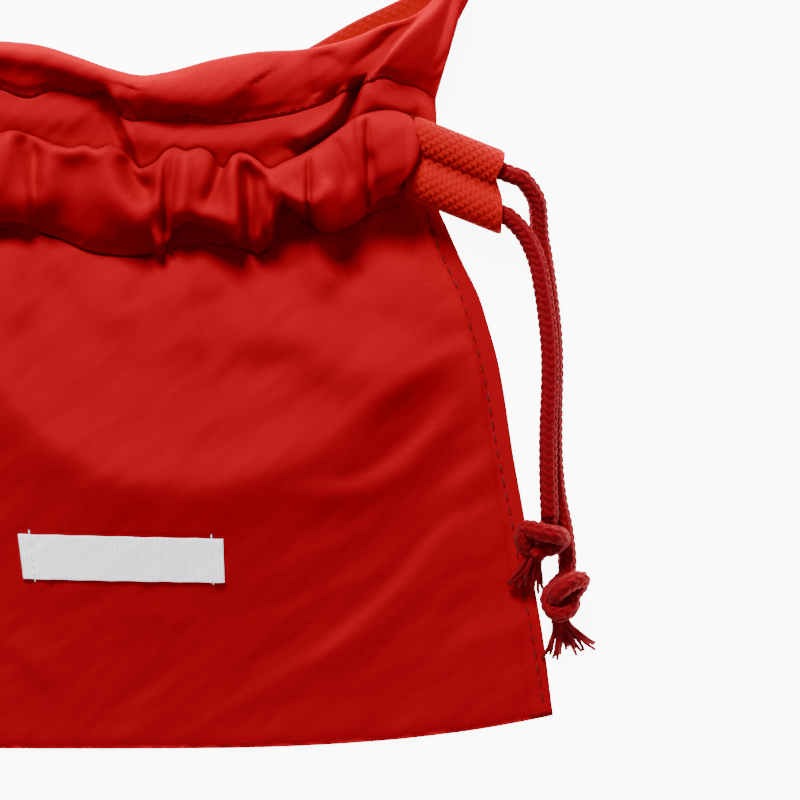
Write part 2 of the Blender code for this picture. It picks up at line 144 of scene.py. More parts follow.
CASING_FOLDS = [
    (2.3, 3.1, 3.6, [(-22.9, 74), (-25, 67), (-26.7, 60)]),
    (3.9, 3.6, 5.9, [(-15.5, 59), (-14, 63.5), (-10.8, 68.2), (-5.3, 70), (-1.1, 69), (2, 65),
     (4.2, 59.3), (7.5, 54), (11.2, 51.2)]),
    (-3.9, 3.1, 2.7, [(-19, 71), (-17.6, 66.5), (-17, 60)]),
    (-3.9, 2.7, 2.7, [(8.2, 66), (10, 61), (12.5, 59)]),
    (2.4, 2.4, 2.2, [(18.6, 68.5), (16.9, 62.5), (15.4, 55)]),
    (-3.8, 2.2, 2.6, [(20.7, 71), (20.1, 66.5), (19.2, 60.7), (18.4, 52.7), (17.6, 48)]),
    (2.5, 2.2, 3.3, [(22.6, 67.5), (22.9, 59.9), (21.6, 52.7)]),
    (-3.6, 1.8, 2.0, [(32.5, 65.7), (31.2, 60.9), (29.3, 56.1)]),
    (2.3, 3.6, 2.7, [(24, 52), (29.5, 51), (35, 49)]),
    (3.1, 2, 2.3, [(36.3, 67.5), (35.8, 62), (36.6, 55), (37, 49)]),
    (3.9, 2.7, 2.5, [(40.5, 67.5), (44.3, 63.6), (48, 58.6), (53.3, 55.4), (58.1, 55.6), (61.3, 58.3)]),
    (-2.2, 2.4, 2.4, [(38.6, 68), (40.2, 62.3), (40.8, 56.7), (40.2, 49.2)]),
    (2.3, 2, 1.4, [(43.2, 59), (44, 52), (43.4, 46)]),
    (-1.4, 1.4, 1.6, [(63.2, 71.1), (65.1, 67.3), (66.4, 62.5)]),
    (2.1, 3.1, 3.1, [(58, 66), (60, 60), (60.5, 52)]),
    (3.1, 1.8, 1.4, [(69.3, 77.5), (69.9, 70), (70.9, 62), (72, 56)]),
    (-2.6, 1.4, 2.2, [(72.1, 67.3), (73.2, 60.7), (74.3, 55.1)]),
    (2.1, 6.3, 6.3, [(78, 74), (80.5, 66)]),
    (3.1, 2.7, 2.7, [(-33, 72), (-34, 60), (-33, 51)]),
    (-4.7, 2.3, 2.3, [(-41, 70), (-40, 60), (-41, 50)]),
    (3.4, 3.1, 3.1, [(-48, 71), (-49, 60), (-47, 49)]),
    (-5.2, 2, 2.7, [(-57, 72), (-55, 61), (-57, 51)]),
    (3.1, 2.7, 3.1, [(-63, 74), (-63, 62), (-66, 54)]),
    (-4.2, 2.2, 2.2, [(-70, 77), (-70, 66), (-72, 57)]),
]
BACK_FOLDS = [
    (2.3, 3.8, 2.7, [(-36, 96.5), (-26.7, 95), (-15, 93), (-5.3, 90), (2, 87), (5.6, 84.2)]),
    (2.7, 6.8, 3.8, [(13.3, 85), (22.7, 82.6), (30.7, 83), (38, 86.5)]),
    (-4.5, 3.8, 3.8, [(60.3, 91.5), (60.8, 85)]),
    (5.5, 1.8, 3.0, [(65.6, 84.3), (62.9, 79.6), (59.2, 75.9), (53.9, 72.9)]),
    (-2.7, 1.5, 1.5, [(67.6, 83), (66.3, 78.3), (62.6, 73.9)]),
    (5.5, 1.4, 9, [(67.6, 77), (69, 81.8), (71.5, 87.3), (75.1, 91.6), (80, 97.7), (86.8, 105),
     (93, 114)]),
    (-5.5, 3.6, 0.9, [(66.2, 78), (67.6, 82.4), (70, 88), (73.8, 92.6), (78.7, 98.8), (85.6, 106)]),
    (2, 2.2, 0.8, [(3.6, 83), (6.4, 77.5), (9.2, 71.3), (11.2, 65.2)]),
    (-2, 1.7, 1.7, [(1.6, 80.5), (3.2, 75.9), (6.5, 69)]),
    (2.3, 3.4, 4.2, [(10, 73.5), (19, 71.9), (31, 71.6), (42, 72.8), (52, 76.5), (57, 79.5)]),
    (1.4, 4.2, 3.4, [(-32, 80), (-20, 78.5), (-8, 78)]),
    (2.7, 2.5, 6.8, [(-70, 84), (-75, 94), (-84, 103), (-92, 112)]),
    (2.3, 4.2, 3.4, [(-66, 97), (-52, 96.4), (-40, 96.8)]),
    (2, 3.4, 2.5, [(74, 82.5), (80, 80.5), (86, 82)]),
]

# drawcord, slider and strap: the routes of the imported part
CORD_D = 5.0
FLOAT_WIDTH = 1.25         # of one float in the webbing, across its run
FLOAT_PITCH = 2.7
SLIDER_CENTRE = (95.0, 63.3)
SLIDER_TURN = math.radians(-21.7)
SLIDER_Z = 8.6
SLIDER_HALF = 13.4
CHANNEL = 5.35
DIRECTION = (math.cos(SLIDER_TURN), math.sin(SLIDER_TURN))
ACROSS = (-math.sin(SLIDER_TURN), math.cos(SLIDER_TURN))
INSIDE = 7.0              # the free ends start this far along, inside the slider


def slider_point(along, across, z=SLIDER_Z):
    """A point in the slider's own directions, from its centre."""
    x = SLIDER_CENTRE[0] + along * DIRECTION[0] + across * ACROSS[0]
    y = SLIDER_CENTRE[1] + along * DIRECTION[1] + across * ACROSS[1]
    return (x, y, z)


FRONT_CASING = [
    (78, 67.5, 8.6), (70, 65.5, 7.8), (58, 62.5, 7.6), (45, 58, 7.5), (30, 57, 7.5), (12, 55.8, 7.5),
    (-6, 58, 7.5), (-26, 61, 7.5), (-45, 60, 7.6), (-62, 62, 8.2), (-76, 65.5, 9.2),
]
LEFT_CROSSING = [
    (-87, 70.5, 10.5), (-91.5, 79, 10.5), (-86, 87.5, 11.5),
]
BACK_CASING = [
    (-75, 92, 8.6), (-58, 92, 7.8), (-35, 92, 7.5), (-15, 89.8, 7.5), (5, 85.4, 7.5), (22, 84, 7.5),
    (40, 87.5, 7.5), (56, 90, 7.5), (66, 91.5, 7.6), (74, 91, 7.8),
]
HELD_ROUTE = ([slider_point(along, -CHANNEL) for along in (INSIDE, 1, -6, -SLIDER_HALF)] + FRONT_CASING
              + LEFT_CROSSING + BACK_CASING + [(79.4, 86.2, 7.8), (80.6, 80.6, 8.0)]
              + [slider_point(along, CHANNEL) for along in (-SLIDER_HALF, -6, 1, INSIDE)])
FRONT_END = [slider_point(INSIDE, -CHANNEL), slider_point(SLIDER_HALF + 0.3, -CHANNEL),
             slider_point(SLIDER_HALF + 3.5, -CHANNEL),
             (112.6, 48.2, 8.3), (115.2, 43.6, 8), (116.9, 38.5, 7.9), (118.1, 32.0, 7.9),
             (119.2, 24, 7.9), (119.9, 15.6, 7.9), (119.9, 6, 7.9), (119.5, -3, 7.9),
             (119.4, -13, 7.8), (119.6, -22, 7.4), (119.9, -27.6, 7.0)]
BACK_END = [slider_point(INSIDE, CHANNEL), slider_point(SLIDER_HALF + 0.3, CHANNEL),
            slider_point(SLIDER_HALF + 3.5, CHANNEL),
            (116.2, 57, 6.6), (117, 52, 4.6), (117.4, 47, 3), (118.6, 40, 2.6), (119.7, 32, 2.6),
            (120.8, 22, 2.6), (121.2, 12, 2.6), (121, 0, 2.6), (121.1, -12, 2.6), (122, -22, 2.6),
            (123.8, -31, 2.6), (124.6, -37.4, 2.7), (124.7, -41.4, 3.0)]
FRONT_LENGTH = 0.092
BACK_LENGTH = 0.116
FRONT_KNOT = [
    (119.9, -26.5, 7.0), (119.6, -30, 5.2), (117.6, -34.4, 4.6), (114.6, -36.6, 6.0), (113.1, -34.2, 7.6),
    (113.6, -31.2, 8.6), (115.8, -31.2, 10.4), (118.8, -32.0, 11.6), (121.8, -32.6, 10.6),
    (123.0, -33.6, 8.0), (121.0, -35.6, 6.4), (117.8, -36.4, 7.6), (115.8, -38.2, 7.2),
]
BACK_KNOT = [
    (124.7, -40.2, 2.9), (124.4, -43.6, 3.8), (121.8, -46.4, 4.2), (119.8, -49.2, 5.4),
    (120.6, -52.4, 7.4), (123.2, -53.4, 8.2), (125.4, -51.6, 7.2), (125.8, -48.6, 5.6),
    (127.6, -46.4, 5.6), (128.2, -44.6, 7.6), (126.0, -44.8, 9.8), (123.4, -46.4, 10.6),
    (121.4, -48.6, 9.2), (121.8, -52.0, 5.4), (122.8, -55.6, 4.8),
]
STRAP_ROUTE = [
    (93.5, 112.5, 3.4), (82.7, 106.5, 2.2), (70, 100.5, 1.25), (58, 93.5, 1.25), (42, 84.5, 1.25),
    (22, 79.2, 1.25), (0, 78, 1.25),
]
STRAP_WIDTH = 10.0
STRAP_THICK = 2.5
LABEL_CORNERS = [(-21.6, -32.4), (33.0, -33.6), (33.3, -45.2), (-20.3, -44.3)]


# floor, light and view
FLOOR_GLOW = 9.0
WORLD_STRENGTH = 0.42
KEY_PLACE = (-0.1, 0.78, 0.66)
KEY_TARGET = (0.06, 0.0, 0.0)
KEY_SIZE = 0.32
KEY_POWER = 23.5
VIEW_WIDTH = 640 / 3
VIEW_MIDDLE = (0.080, 0.00333)
VIEW_LEVEL = 0.006


# lines and surfaces

def reading(table, where):
    """Smooth reading of a short table of (place, value)."""
    xs, ys = np.array(table, float).T
    slope = np.gradient(ys, xs)
    where = np.clip(np.asarray(where, float), xs[0], xs[-1])
    i = np.clip(np.searchsorted(xs, where) - 1, 0, len(xs) - 2)
    gap = xs[i + 1] - xs[i]
    u = (where - xs[i]) / gap
    return ((2 * u ** 3 - 3 * u ** 2 + 1) * ys[i] + (u ** 3 - 2 * u ** 2 + u) * gap * slope[i]
            + (3 * u ** 2 - 2 * u ** 3) * ys[i + 1] + (u ** 3 - u ** 2) * gap * slope[i + 1])


def ease(value):
    value = np.clip(value, 0, 1)
    return value * value * (3 - 2 * value)


def smooth_route(points, step):
    """Points a step apart on a smooth curve through the given ones."""
    p = np.array(points, float)
    p = np.vstack([2 * p[0] - p[1], p, 2 * p[-1] - p[-2]])
    fine = []
    for a, b, c, d in zip(p, p[1:], p[2:], p[3:]):
        for t in np.linspace(0, 1, 24, endpoint=False):
            fine.append(0.5 * (2 * b + (c - a) * t + (2 * a - 5 * b + 4 * c - d) * t ** 2
                               + (3 * b - a - 3 * c + d) * t ** 3))
    fine = np.array(fine + [p[-2]])
    run = np.concatenate([[0], np.cumsum(np.linalg.norm(np.diff(fine, axis=0), axis=1))])
    even = np.linspace(0, run[-1], max(3, int(run[-1] / step) + 1))
    return np.column_stack([np.interp(even, run, fine[:, k]) for k in range(fine.shape[1])])


def fold(x, y, soft, height, left, right, line):
    """A soft ridge or valley along a line, with its own width on each side. soft fades its ends."""
    line = smooth_route(line, 1.5)
    nearest = np.full(x.shape, 1e9)
    side = np.zeros(x.shape)
    fade = np.ones(x.shape)
    for k, (a, b) in enumerate(zip(line, line[1:])):
        way = b - a
        t = np.clip(((x - a[0]) * way[0] + (y - a[1]) * way[1]) / (way @ way), 0, 1)
        dx, dy = x - a[0] - t * way[0], y - a[1] - t * way[1]
        away = dx * dx + dy * dy
        closer = away < nearest
        nearest = np.where(closer, away, nearest)
        side = np.where(closer, way[0] * dy - way[1] * dx, side)
        place = (k + t) / (len(line) - 1)
        fade = np.where(closer, np.clip(np.minimum(place, 1 - place) * 3, 0, 1), fade)
    width = np.where(side > 0, left, right)
    return height * np.exp(-nearest / width ** 2) * (1 - soft * (1 - ease(fade)))


def folds(x, y, table, soft=0.0):
    return sum(fold(x, y, soft, *row) for row in table)


def bottom_line(share):
    return -90 + 9 * np.abs(share) ** 3


def front_height(share, x, y):
    """The front panel's height above the surface that the pouch lies on."""
    a = np.abs(share)
    dome = np.clip(1 - (a / 0.955) ** 2.2, 0, 1) ** 0.9
    low = bottom_line(share)
    crest = reading(CREST_LINE, x)
    below = np.clip((crest - y) / (crest - low), 0, 1)
    above = np.clip((y - crest) / (reading(STITCH_LINE, x) - crest), 0, 1)
    fall = (1.05 - np.sqrt(below ** 2 + 0.0025)) ** 2.3
    climb = 1 - 0.72 * (np.sqrt(above ** 2 + 0.0025) - 0.05)
    roll = 0.6 * np.sqrt(np.clip((y - low) / 3, 0, 1))
    height = 0.7 + roll * np.clip((0.97 - a) / 0.05, 0, 1) + 16.5 * np.where(y < crest, fall, climb) * dome
    inside = np.clip((0.97 - a) / 0.05, 0, 1) * np.clip((y - low) / 6, 0, 1)
    height = height + folds(x, y, FRONT_FOLDS, 0.8) * inside
    seam = np.abs(a - 0.955) * 115
    return height - 0.35 * np.exp(-(seam / 0.9) ** 2)


def clear_of_cord(x, y, z, route):
    """Lifts the cloth softly where it would cut into the cord that runs through it."""
    line = smooth_route(route, 1.0)
    line = line[np.argsort(line[:, 0])]
    middle = np.interp(x, line[:, 0], line[:, 1])
    height = np.interp(x, line[:, 0], line[:, 2])
    over = height + 3.0 * np.clip(1 - ((y - middle) / 6.5) ** 2, -1, 1)
    gap = z - over
    return over + 0.5 * (gap + np.sqrt(gap ** 2 + 0.5))


def front_panel_rows(shares, count):
    rows = []
    for v in np.linspace(1, 0, count):
        half = reading(SIDE_EDGE, -81 + v * (56 + 81))
        x = shares * half
        low = bottom_line(shares)
        y = low + (reading(STITCH_LINE, x) - low) * v
        rows.append((x, y, front_height(shares, x, y)))
    return rows


def front_casing_rows(shares, inner, outer):
    """The casing's tube from its hidden inner layer, over the top fold and down to the stitch line."""
    x = shares * 88.2
    stitch, top = reading(STITCH_LINE, x), reading(CASING_TOP, x)
    lobe = reading(LOBE_LINE, x)
    base = front_height(shares, x, stitch)
    hang = ease(np.abs(lobe - stitch) / 1.6)
    end = ease((88.2 - np.abs(x)) / 7)
    deep = top - lobe
    crest = 8.5 + 8.0 * end - 2.2 * (1 - hang) * end
    stations = [(stitch + 2.0, 4.3 + 0 * x), (lobe + deep * 0.55, 4.5 + 0 * x), (top - 2.6, 5.6 + 0 * x),
                (top - 0.6, 7.6 + 0 * x), (top, 7.4 + 3.6 * end), (top - 0.05 * deep, 8.6 + 5.6 * end),
                (top - 0.2 * deep, crest - 0.2), (lobe + deep * 0.5, crest + 0.7),
                (lobe + deep * 0.2, crest + 0.2 - 2.6 * (1 - hang)),
                (lobe + deep * 0.03 * (1 + (1 - hang)), (base + 6.6) * hang + (base + 1.9) * (1 - hang)),
                (lobe + 0.3 * (1 - hang), (base + 2.6) * hang + (base + 0.9) * (1 - hang)),
                (lobe * hang + stitch * (1 - hang) + 0.9 * hang + 0.15 * (1 - hang),
                 base + 0.35 + 0.75 * hang),
                (stitch, base)]
    y = np.array([s[0] for s in stations])
    z = np.array([s[1] for s in stations])
    places = np.concatenate([np.linspace(0, 3, inner, endpoint=False), np.linspace(3, 12, outer)])
    rows = []
    for place in places[:-1]:
        i = min(int(place), 11)
        t = place - i
        pick = [max(i - 1, 0), i, min(i + 1, 12), min(i + 2, 12)]
        weights = [0.5 * (-t + 2 * t ** 2 - t ** 3), 0.5 * (2 - 5 * t ** 2 + 3 * t ** 3),
                   0.5 * (t + 4 * t ** 2 - 3 * t ** 3), 0.5 * (t ** 3 - t ** 2)]
        yy = sum(w * y[k] for w, k in zip(weights, pick))
        zz = sum(w * z[k] for w, k in zip(weights, pick))
        if place > 3:
            zz = zz + folds(x, yy, CASING_FOLDS) * np.clip((zz - 6.5) / 7, 0, 1)
            if 5 < place < 9.4:
                zz = clear_of_cord(x, yy, zz, FRONT_CASING)
        rows.append((x, yy, zz))
    return rows


def back_under_height(y):
    """The back panel leaves the surface near the mouth and passes over the strap."""
    return 0.3 + 3.5 * ease((y - 63) / 9)


def back_rows(shares, hidden, seen, under, turned):
    rows = []
    for v in np.linspace(0.004, 1, hidden):
        half = reading(SIDE_EDGE, -81 + v * (FOLD_BACK_Y + 81))
        low = bottom_line(shares)
        y = low + (FOLD_BACK_Y - low) * v
        rows.append((shares * half, y, 0.3 + 0 * y))
    for v in np.linspace(0, 1, seen + 1)[1:]:
        half = reading(SIDE_EDGE, FOLD_BACK_Y + v * (84 - FOLD_BACK_Y))
        x = shares * half
        hem = reading(HEM_LINE, x)
        y = FOLD_BACK_Y + (hem - 0.2 - FOLD_BACK_Y) * v
        lift = ease((y - reading(CASING_TOP, np.clip(x, -86, 86)) + 5) / 6)
        end = np.clip((0.995 - np.abs(shares)) / 0.05, 0, 1)
        level = back_under_height(y)
        z = level + (8.0 - level) * lift * (0.35 + 0.65 * end) + folds(x, y, BACK_FOLDS) * lift * end
        rows.append((x, y, np.maximum(z, level)))
    last_z = rows[-1][2]
    for v in np.linspace(0, 1, under + 1)[1:]:
        half = reading(SIDE_EDGE, 84 + v * 32)
        x = shares * half
        hem, top = reading(HEM_LINE, x), reading(TOP_EDGE, x)
        z = np.minimum(last_z, 8.6) * (1 - v) + 8.0 * v - 4.2 * math.sin(math.pi * v)
        rows.append((x, hem + (top - 1.4 - hem) * v, z))
    for v in np.linspace(0, 1, turned):
        half = reading(SIDE_EDGE, 84 + (1 - v) * 33)
        x = shares * half
        hem, top = reading(HEM_LINE, x), reading(TOP_EDGE, x)
        y = top + (hem - top) * v
        tall = np.clip((top - hem) / 13, 0.8, 2)
        peak = 3.4 / tall ** 0.3
        skew = 0.62 + 0.25 * ease((x - 2) / 10) * (1 - ease((x - 50) / 20))
        body = np.sin(np.pi * v ** skew) ** 0.8 if v > 0 else 0 * x
        end = np.clip((0.995 - np.abs(shares)) / 0.04, 0, 1)
        z = 8.8 + peak * body * (0.3 + 0.7 * end) + folds(x, y, BACK_FOLDS) * np.clip(v * 6, 0, 1) * end
        z = clear_of_cord(x, y, np.maximum(z, 8.4), BACK_CASING)
        if v > 0.8:
            z = np.maximum(z * (1 - (v - 0.8) * 5) + (last_z + 0.35) * (v - 0.8) * 5, last_z + 0.35)
        rows.append((x, y, z))
    return rows


def crinkle(x, y, z):
    """Fine limp crinkles of thin nylon, added to the height."""
    out = np.zeros(len(x))
    for k, (a, b, c) in enumerate(zip(x, y, z)):
        along = 0.6 * a - 0.8 * b
        across = 0.8 * a + 0.6 * b
        out[k] = 0.55 * noise.noise(Vector((across * 0.035, along * 0.12, 3.1)))
        out[k] += 0.26 * noise.noise(Vector((across * 0.1, along * 0.45, c * 0.1)))
    return out


# mesh helpers

def select_none():
    bpy.ops.object.select_all(action="DESELECT")


def finish_mesh(name, points, faces, finish, uv=None):
    """A smooth mesh object from points in millimetres."""
    mesh = bpy.data.meshes.new(name)
    mesh.from_pydata((np.asarray(points, float) * MM).tolist(), [], faces)
    mesh.validate()
    if uv is not None:
        layer = mesh.uv_layers.new(name="surface")
        corner = np.empty(len(mesh.loops), int)
        mesh.loops.foreach_get("vertex_index", corner)
        layer.data.foreach_set("uv", np.asarray(uv, float)[corner].ravel())
    mesh.shade_smooth()
    thing = bpy.data.objects.new(name, mesh)
    bpy.context.scene.collection.objects.link(thing)
    mesh.materials.append(finish)
    return thing


def grid_faces(rows, columns, close_rows=False, close_columns=False):
    r = np.arange(rows if close_rows else rows - 1)
    c = np.arange(columns if close_columns else columns - 1)
    r, c = np.meshgrid(r, c, indexing="ij")
    r2, c2 = (r + 1) % rows, (c + 1) % columns
    quads = np.stack([r * columns + c, r * columns + c2, r2 * columns + c2, r2 * columns + c], -1)
    return quads.reshape(-1, 4).tolist()


def apply_modifier(thing, kind, **settings):
    select_none()
    bpy.context.view_layer.objects.active = thing
    thing.select_set(True)
    step = thing.modifiers.new(kind.title(), kind)
    for key, value in settings.items():
        setattr(step, key, value)
    bpy.ops.object.modifier_apply(modifier=step.name)


def outward(thing):
    """Turns a closed mesh's faces to the outside."""
    select_none()
    bpy.context.view_layer.objects.active = thing
    thing.select_set(True)
    bpy.ops.object.mode_set(mode="EDIT")
    bpy.ops.mesh.select_all(action="SELECT")
    bpy.ops.mesh.normals_make_consistent(inside=False)
    bpy.ops.object.mode_set(mode="OBJECT")


def frames_along(line):
    """A direction and two square ones at each point, without twist."""
    way = np.gradient(line, axis=0)
    way /= np.linalg.norm(way, axis=1)[:, None]
    side = np.cross(way[0], (0, 0, 1))
    if np.linalg.norm(side) < 0.2:
        side = np.cross(way[0], (0, 1, 0))
    sides = []
    for t in way:
        side = side - t * (side @ t)
        side = side / np.linalg.norm(side)
        sides.append(side)
    sides = np.array(sides)
    return way, sides, np.cross(sides, way)


def tube_mesh(name, line, radius_at, sides, finish):
    """A closed tube. radius_at(run, turn) gives the radius at each place along and round it."""
    way, side, up = frames_along(line)
    run = np.concatenate([[0], np.cumsum(np.linalg.norm(np.diff(line, axis=0), axis=1))])
    turn = np.linspace(0, 2 * math.pi, sides, endpoint=False)
    radius = radius_at(run[:, None], turn[None, :]) * np.ones((len(line), sides))
    ring = (side[:, None, :] * np.cos(turn)[None, :, None] + up[:, None, :] * np.sin(turn)[None, :, None])
    points = (line[:, None, :] + ring * radius[:, :, None]).reshape(-1, 3)
    points = np.vstack([points, line[0] - way[0] * 0.5, line[-1] + way[-1] * 0.5])
    faces = grid_faces(len(line), sides, close_columns=True)
    first, last, start = len(points) - 2, len(points) - 1, (len(line) - 1) * sides
    faces += [[first, (k + 1) % sides, k] for k in range(sides)]
    faces += [[last, start + k, start + (k + 1) % sides] for k in range(sides)]
    uv = np.stack([np.repeat(run, sides), np.tile(turn * CORD_D / 2, len(line))], -1)
    uv = np.vstack([uv, [0, 0], [run[-1], 0]])
    return finish_mesh(name, points, faces, finish, uv)


def braid_radius(radius, columns=8, lead=2.1, slant=1.0, relief=0.62):
    """Radius of a round braid: columns of bundles that slant one way and then the other."""
    def at(run, turn):
        place = columns * turn / (2 * math.pi)
        side = 1 - 2 * (np.floor(place) % 2)
        u = place % 1
        v = (run / lead + side * (u - 0.5) * slant) % 1
        bundle = np.sin(np.pi * v) ** 0.6 * np.sin(np.pi * np.clip(u, 0.04, 0.96)) ** 0.45
        return radius - relief * 0.8 + relief * bundle
    return at


# materials

def new_material(name):
    finish = bpy.data.materials.new(name)
    finish.use_nodes = True
    tree = finish.node_tree
    return finish, tree, tree.nodes["Principled BSDF"]


def node(tree, kind, **values):
    made = tree.nodes.new(kind)
    for key, value in values.items():
        if key in made.inputs:
            made.inputs[key].default_value = value
        else:
            setattr(made, key, value)
    return made


def fibre_group():
    """Soft colour drift and loose fibres, shared by every textile here."""
    group = bpy.data.node_groups.new("textile fibre", "ShaderNodeTree")
    for label, default in (("Coarse", 60.0), ("Fine", 900.0), ("Drift", 0.1)):
        socket = group.interface.new_socket(name=label, in_out="INPUT", socket_type="NodeSocketFloat")
        socket.default_value = default
    group.interface.new_socket(name="Place", in_out="INPUT", socket_type="NodeSocketVector")
    group.interface.new_socket(name="Tone", in_out="OUTPUT", socket_type="NodeSocketFloat")
    group.interface.new_socket(name="Height", in_out="OUTPUT", socket_type="NodeSocketFloat")
    come, go = group.nodes.new("NodeGroupInput"), group.nodes.new("NodeGroupOutput")
    wide = node(group, "ShaderNodeTexNoise", Detail=3.0, Roughness=0.55)
    thin = node(group, "ShaderNodeTexNoise", Detail=2.0, Roughness=0.6)
    group.links.new(come.outputs["Place"], wide.inputs["Vector"])
    group.links.new(come.outputs["Place"], thin.inputs["Vector"])
    group.links.new(come.outputs["Coarse"], wide.inputs["Scale"])
    group.links.new(come.outputs["Fine"], thin.inputs["Scale"])
    swing = node(group, "ShaderNodeMath", operation="SUBTRACT")
    swing.inputs[1].default_value = 0.5
    size = node(group, "ShaderNodeMath", operation="MULTIPLY")
    lift = node(group, "ShaderNodeMath", operation="ADD")
    lift.inputs[1].default_value = 1.0
    group.links.new(wide.outputs["Fac"], swing.inputs[0])
    group.links.new(swing.outputs[0], size.inputs[0])
    group.links.new(come.outputs["Drift"], size.inputs[1])
    group.links.new(size.outputs[0], lift.inputs[0])
    group.links.new(lift.outputs[0], go.inputs["Tone"])
    group.links.new(thin.outputs["Fac"], go.inputs["Height"])
    return group


def textile(name, colour, fibre, roughness=0.8, coarse=60.0, fine=900.0, drift=0.15, depth=0.0002, sheen=0.2,
            stretch=(1, 1, 1), specular=0.06):
    """A matte textile. The fibre group drives its colour drift and its fine bump."""
    finish, tree, shader = new_material(name)
    place = node(tree, "ShaderNodeTexCoord")
    turn = node(tree, "ShaderNodeMapping")
    turn.inputs["Scale"].default_value = stretch
    tree.links.new(place.outputs["Object"], turn.inputs["Vector"])
    grain = node(tree, "ShaderNodeGroup")
    grain.node_tree = fibre
    grain.inputs["Coarse"].default_value = coarse
    grain.inputs["Fine"].default_value = fine
    grain.inputs["Drift"].default_value = drift
    tree.links.new(turn.outputs["Vector"], grain.inputs["Place"])
    tint = node(tree, "ShaderNodeVectorMath", operation="SCALE")
    tint.inputs[0].default_value = colour
    tree.links.new(grain.outputs["Tone"], tint.inputs["Scale"])
    tree.links.new(tint.outputs["Vector"], shader.inputs["Base Color"])
    bump = node(tree, "ShaderNodeBump", Distance=depth, Strength=1.0)
    tree.links.new(grain.outputs["Height"], bump.inputs["Height"])
    tree.links.new(bump.outputs["Normal"], shader.inputs["Normal"])
    shader.inputs["Roughness"].default_value = roughness
    shader.inputs["Sheen Weight"].default_value = sheen
    shader.inputs["Sheen Roughness"].default_value = 0.4
    shader.inputs["Specular IOR Level"].default_value = specular
    return finish


def ribbed_tape_with_painted_glow(name, colour, fibre):
    """White tape with fine ribs across its width, and a painted glow: it emits a faint bluish white light that
    makes it brighter than the lamps alone would.
    """
    finish = textile(name, colour, fibre, roughness=0.85, coarse=120.0, drift=0.06, depth=0.0001, sheen=0.1)
    tree = finish.node_tree
    wave = node(tree, "ShaderNodeTexWave", wave_type="BANDS", bands_direction="X", Scale=300.0, Distortion=1.0,
                Detail=1.0)
    place = node(tree, "ShaderNodeTexCoord")
    tree.links.new(place.outputs["Object"], wave.inputs["Vector"])
    bump = next(n for n in tree.nodes if n.type == "BUMP")
    rib = node(tree, "ShaderNodeBump", Distance=0.0003, Strength=1.0)
    tree.links.new(wave.outputs["Fac"], rib.inputs["Height"])
    tree.links.new(bump.outputs["Normal"], rib.inputs["Normal"])
    shader = tree.nodes["Principled BSDF"]
    tree.links.new(rib.outputs["Normal"], shader.inputs["Normal"])
    # painted glow: the tape emits a faint bluish white light of its own, so it reads brighter than its lighting
    # makes it
    shader.inputs["Emission Color"].default_value = (0.86, 0.84, 1.0, 1)
    shader.inputs["Emission Strength"].default_value = 0.8
    return finish


FINISHES = {}


def make_finishes(look):
    fibre = fibre_group()
    FINISHES["cloth"] = textile("thin nylon cloth", look.cloth_colour, fibre, roughness=0.7, coarse=45.0,
                                fine=1500.0, drift=0.10, depth=0.00006, sheen=0.0, stretch=(1, 0.6, 1),
                                specular=0.0)
    FINISHES["webbing"] = textile("cotton webbing", look.webbing_colour, fibre, roughness=0.9, coarse=300.0,
                                  fine=2500.0, drift=0.22, depth=0.0002, sheen=0.03)
    FINISHES["strap"] = textile("strap webbing", look.strap_colour, fibre, roughness=0.9, coarse=300.0,
                                fine=2500.0, drift=0.22, depth=0.0002, sheen=0.03)
    FINISHES["cord"] = textile("braided cord", look.cord_colour, fibre, roughness=0.88, coarse=400.0,
                               fine=3000.0, drift=0.3, depth=0.0002, sheen=0.03)
    FINISHES["yarn"] = textile("frayed yarn", look.cord_colour, fibre, roughness=0.9, coarse=400.0,
                               fine=3000.0, drift=0.3, depth=0.0001, sheen=0.03)
    FINISHES["thread"] = textile("sewing thread", look.thread_colour, fibre, roughness=0.7, coarse=500.0,
                                 fine=3000.0, drift=0.2, depth=0.0001, sheen=0.1)
    # the label tape's finish carries a painted glow that brightens it beyond its lighting
    FINISHES["tape"] = ribbed_tape_with_painted_glow("white label tape with painted glow", look.tape_colour, fibre)
    FINISHES["white_thread"] = textile("white thread", look.tape_colour, fibre, roughness=0.8, coarse=500.0,
                                       fine=3000.0, drift=0.1, depth=0.0001, sheen=0.1)


# pieces

def cloth_shares():
    """Columns across the cloth, closer together on the slider's side."""
    return np.concatenate([np.linspace(-1, -0.3, 52, endpoint=False), np.linspace(-0.3, 1, 182)])


CLOTH_ROWS = dict(inner=7, outer=44, front=90, hidden=9, seen=26, under=5, turned=26)


def build_cloth():
    """One cloth: front casing, front panel, bottom fold, back panel and back casing in one run."""
    shares = cloth_shares()
    n = CLOTH_ROWS
    rows = front_casing_rows(shares, n["inner"], n["outer"])
    rows += front_panel_rows(shares, n["front"])
    rows += back_rows(shares, n["hidden"], n["seen"], n["under"], n["turned"])
    x, y, z = (np.array([row[k] for row in rows]) for k in range(3))
    wild = crinkle(x.ravel(), y.ravel(), z.ravel()).reshape(x.shape)
    calm = np.ones(len(rows))
    start = n["inner"] + n["outer"] - 1 + n["front"]
    calm[start:start + n["hidden"]] = 0
    calm[:n["inner"]] = 0
    edge = np.clip((0.985 - np.abs(shares)) / 0.04, 0, 1)
    z = z + wild * calm[:, None] * edge[None, :]
    points = np.stack([x, y, np.maximum(z, 0.3)], -1).reshape(-1, 3)
    cloth = finish_mesh("pouch_cloth", points, grid_faces(len(rows), len(shares)), FINISHES["cloth"])
    apply_modifier(cloth, "SOLIDIFY", thickness=0.25 * MM, offset=0)
    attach(cloth, "pouch")
    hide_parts("pouch_body")


